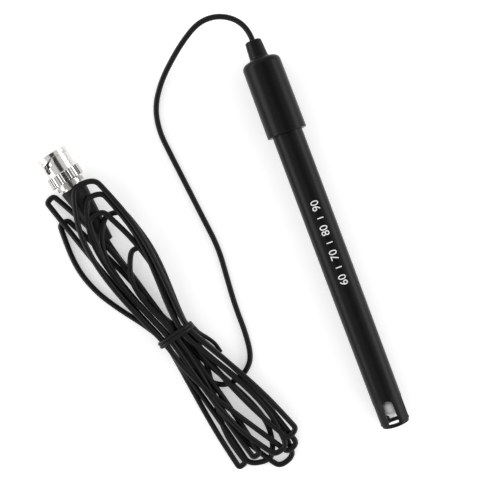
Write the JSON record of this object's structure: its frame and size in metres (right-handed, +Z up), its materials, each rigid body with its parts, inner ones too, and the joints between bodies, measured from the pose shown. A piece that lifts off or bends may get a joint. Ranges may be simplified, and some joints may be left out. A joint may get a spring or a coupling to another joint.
{
  "type": "combination ph electrode",
  "caption": "Combination pH electrode: black plastic body with a windowed bulb guard, cap, tied-up lead and bayonet plug with a turning, knurled coupling sleeve",
  "frame": {"origin": "centre of the electrode's footprint, on the surface it lies on (bounding box bottom centre of the electrode without its lead and plug)", "axes": "+Y along the electrode from the bulb towards the cap, +Z up, +X to the right seen from above with the cap away from the viewer; the tied lead and the plug lie on the -X side"},
  "size_m": [0.1071, 0.1748, 0.016],
  "materials": {
    "body_plastic": "moulded, gloss black",
    "cap_plastic": "moulded, gloss black",
    "bulb_glass": "blown, clear to milky",
    "silver_wire": "drawn silver wire with a grey coated end",
    "junction_ceramic": "porous, matt",
    "seal_rubber": "matt",
    "potting": "cast resin",
    "lead_jacket": "extruded, satin black",
    "core_plastic": "extruded, translucent white",
    "copper": "drawn copper",
    "tinned_copper": "tinned copper strands",
    "crimp_metal": "tinned and plain brass",
    "nickel": "nickel plated brass, polished",
    "insulator_plastic": "turned, white",
    "gold": "gold plated brass",
    "gasket_rubber": "matt",
    "spring_steel": "rolled strip",
    "boot_rubber": "moulded, satin black",
    "tie_plastic": "coated wire, black"
  },
  "bodies": {
    "electrode": {"body_tube": "body_plastic", "cap": "cap_plastic", "glass_stem": "bulb_glass", "inner_reference_wire": "silver_wire", "outer_reference_wire": "silver_wire", "reference_junction": "junction_ceramic", "stem_seal": "seal_rubber", "stem_stopper": "seal_rubber", "upper_potting": "potting", "cable_free": "lead_jacket", "cable_hank": "lead_jacket", "cable_root": "lead_jacket", "cable_plug_end": "lead_jacket", "cable_core": "core_plastic", "plug_core": "core_plastic", "core_conductor": "copper", "plug_conductor": "copper", "shield_pigtail": "tinned_copper", "cable_braid": "tinned_copper", "crimp_collar": "crimp_metal", "inner_splice": "crimp_metal", "outer_splice": "crimp_metal", "crimp_ferrule": "crimp_metal", "plug_body": "nickel", "outer_contact": "nickel", "rear_nut": "nickel", "plug_insulator": "insulator_plastic", "centre_pin": "gold", "gasket": "gasket_rubber", "spring_washer": "spring_steel", "boot": "boot_rubber", "twist_tie": "tie_plastic"},
    "thrust_washer": {"thrust_washer": "spring_steel"},
    "sleeve": {"coupling_sleeve": "nickel"}
  },
  "joints": [
    {"name": "sleeve_slide", "type": "slide", "parent": "electrode", "child": "thrust_washer", "axis": [-0.1881, 0.9677, 0.1679], "range_m": [0, 0.00045], "stiffness_N_per_m": 400, "springref_m": -0.001, "deforming": ["spring_washer"]},
    {"name": "sleeve_turn", "type": "hinge", "parent": "thrust_washer", "child": "sleeve", "pos_m": [-0.0854, 0.0535, 0.00708], "axis": [-0.1881, 0.9677, 0.1679], "continuous": true}
  ]
}
